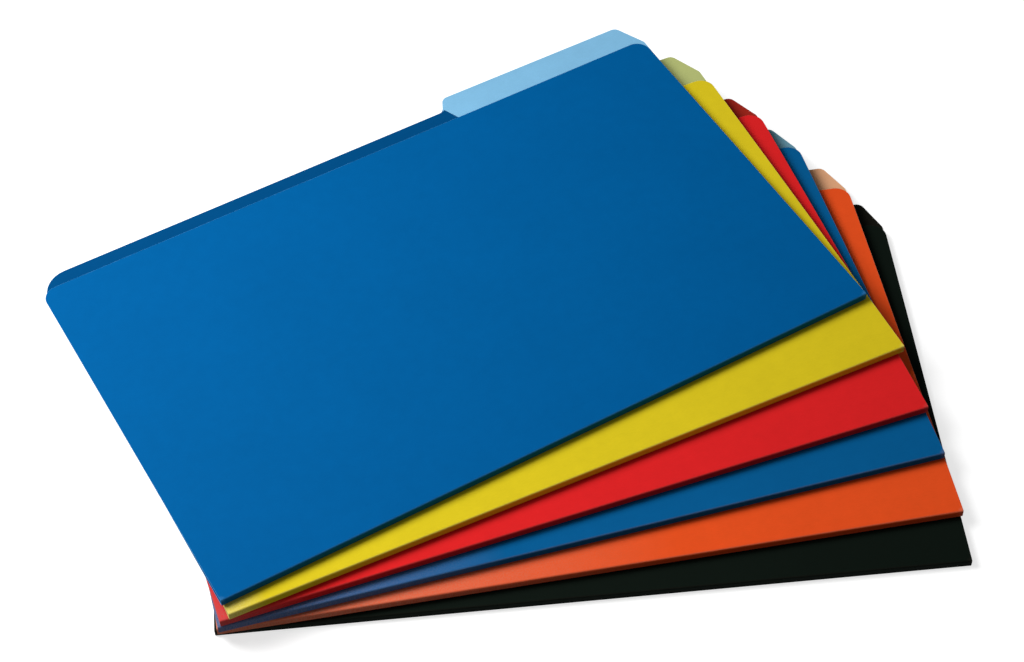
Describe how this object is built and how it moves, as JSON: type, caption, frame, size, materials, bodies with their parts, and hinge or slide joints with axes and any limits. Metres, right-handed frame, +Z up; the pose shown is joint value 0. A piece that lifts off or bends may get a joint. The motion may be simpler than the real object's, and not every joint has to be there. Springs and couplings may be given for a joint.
{
  "type": "file folder set",
  "caption": "Fan of legal-size file folders in plain coloured card, each with a third-cut tab at the right, a scored fold and leaves that open.",
  "frame": {"origin": "middle of the footprint of the fan, on the surface that it lies on", "axes": "+Z up; +X along the fold of the lowest folder, towards its tab end; +Y from that fold towards the tabs"},
  "size_m": [0.459, 0.3736, 0.0315],
  "materials": {
    "black_card": "smooth folder card, dyed right through, with a paler facing on the inside of the tab",
    "orange_card": "smooth folder card, dyed right through, with a paler facing on the inside of the tab",
    "steel_blue_card": "smooth folder card, dyed right through, with a paler facing on the inside of the tab",
    "red_card": "smooth folder card, dyed right through, with a paler facing on the inside of the tab",
    "yellow_card": "smooth folder card, dyed right through, with a paler facing on the inside of the tab",
    "royal_blue_card": "smooth folder card, dyed right through, with a paler facing on the inside of the tab"
  },
  "bodies": {
    "black_back": {"black_back_leaf": "black_card"},
    "black_spine": {"black_spine": "black_card"},
    "black_front": {"black_front_leaf": "black_card"},
    "orange_back": {"orange_back_leaf": "orange_card"},
    "orange_spine": {"orange_spine": "orange_card"},
    "orange_front": {"orange_front_leaf": "orange_card"},
    "steel_blue_back": {"steel_blue_back_leaf": "steel_blue_card"},
    "steel_blue_spine": {"steel_blue_spine": "steel_blue_card"},
    "steel_blue_front": {"steel_blue_front_leaf": "steel_blue_card"},
    "red_back": {"red_back_leaf": "red_card"},
    "red_spine": {"red_spine": "red_card"},
    "red_front": {"red_front_leaf": "red_card"},
    "yellow_back": {"yellow_back_leaf": "yellow_card"},
    "yellow_spine": {"yellow_spine": "yellow_card"},
    "yellow_front": {"yellow_front_leaf": "yellow_card"},
    "royal_blue_back": {"royal_blue_back_leaf": "royal_blue_card"},
    "royal_blue_spine": {"royal_blue_spine": "royal_blue_card"},
    "royal_blue_front": {"royal_blue_front_leaf": "royal_blue_card"}
  },
  "joints": [
    {"name": "black_lower_score", "type": "hinge", "parent": "black_back", "child": "black_spine", "pos_m": [0.04151, -0.1819, 0], "axis": [1, 0, 0], "range_deg": [0, 10]},
    {"name": "black_upper_score", "type": "hinge", "parent": "black_spine", "child": "black_front", "pos_m": [0.04151, -0.1819, 0.005], "axis": [1, 0, 0], "range_deg": [0, 10]},
    {"name": "orange_turn", "type": "hinge", "parent": "black_front", "child": "orange_back", "pos_m": [-0.12931, -0.1684, 0.0053], "axis": [0, 0, 1], "range_deg": [-4.4, 10]},
    {"name": "orange_lower_score", "type": "hinge", "parent": "orange_back", "child": "orange_spine", "pos_m": [0.04276, -0.17023, 0.0053], "axis": [0.9971, 0.0767, 0], "range_deg": [0, 10]},
    {"name": "orange_upper_score", "type": "hinge", "parent": "orange_spine", "child": "orange_front", "pos_m": [0.04276, -0.17023, 0.0103], "axis": [0.9971, 0.0767, 0], "range_deg": [0, 10]},
    {"name": "steel_blue_turn", "type": "hinge", "parent": "orange_front", "child": "steel_blue_back", "pos_m": [-0.12931, -0.1684, 0.0106], "axis": [0, 0, 1], "range_deg": [-5.3, 10]},
    {"name": "steel_blue_lower_score", "type": "hinge", "parent": "steel_blue_back", "child": "steel_blue_spine", "pos_m": [0.04174, -0.15524, 0.0106], "axis": [0.9857, 0.1685, 0], "range_deg": [0, 10]},
    {"name": "steel_blue_upper_score", "type": "hinge", "parent": "steel_blue_spine", "child": "steel_blue_front", "pos_m": [0.04174, -0.15524, 0.0156], "axis": [0.9857, 0.1685, 0], "range_deg": [0, 10]},
    {"name": "red_turn", "type": "hinge", "parent": "steel_blue_front", "child": "red_back", "pos_m": [-0.12931, -0.1684, 0.0159], "axis": [0, 0, 1], "range_deg": [-4, 10]},
    {"name": "red_lower_score", "type": "hinge", "parent": "red_back", "child": "red_spine", "pos_m": [0.04068, -0.14234, 0.0159], "axis": [0.9715, 0.2368, 0], "range_deg": [0, 10]},
    {"name": "red_upper_score", "type": "hinge", "parent": "red_spine", "child": "red_front", "pos_m": [0.04068, -0.14234, 0.0209], "axis": [0.9715, 0.2368, 0], "range_deg": [0, 10]},
    {"name": "yellow_turn", "type": "hinge", "parent": "red_front", "child": "yellow_back", "pos_m": [-0.12931, -0.1684, 0.0212], "axis": [0, 0, 1], "range_deg": [-5.7, 10]},
    {"name": "yellow_lower_score", "type": "hinge", "parent": "yellow_back", "child": "yellow_spine", "pos_m": [0.04028, -0.12428, 0.0212], "axis": [0.9432, 0.3322, 0], "range_deg": [0, 10]},
    {"name": "yellow_upper_score", "type": "hinge", "parent": "yellow_spine", "child": "yellow_front", "pos_m": [0.04028, -0.12428, 0.0262], "axis": [0.9432, 0.3322, 0], "range_deg": [0, 10]},
    {"name": "royal_blue_turn", "type": "hinge", "parent": "yellow_front", "child": "royal_blue_back", "pos_m": [-0.12931, -0.1684, 0.0265], "axis": [0, 0, 1], "range_deg": [-4.6, 10]},
    {"name": "royal_blue_lower_score", "type": "hinge", "parent": "royal_blue_back", "child": "royal_blue_spine", "pos_m": [0.03172, -0.10551, 0.0265], "axis": [-0.9135, -0.4067, 0], "range_deg": [-90, 0]},
    {"name": "royal_blue_upper_score", "type": "hinge", "parent": "royal_blue_spine", "child": "royal_blue_front", "pos_m": [0.03172, -0.10551, 0.0315], "axis": [-0.9135, -0.4067, 0], "range_deg": [-90, 0]}
  ],
  "couplings": [
    {"joint": "black_lower_score", "follows": "black_upper_score", "ratio": 1},
    {"joint": "orange_lower_score", "follows": "orange_upper_score", "ratio": 1},
    {"joint": "steel_blue_lower_score", "follows": "steel_blue_upper_score", "ratio": 1},
    {"joint": "red_lower_score", "follows": "red_upper_score", "ratio": 1},
    {"joint": "yellow_lower_score", "follows": "yellow_upper_score", "ratio": 1}
  ]
}
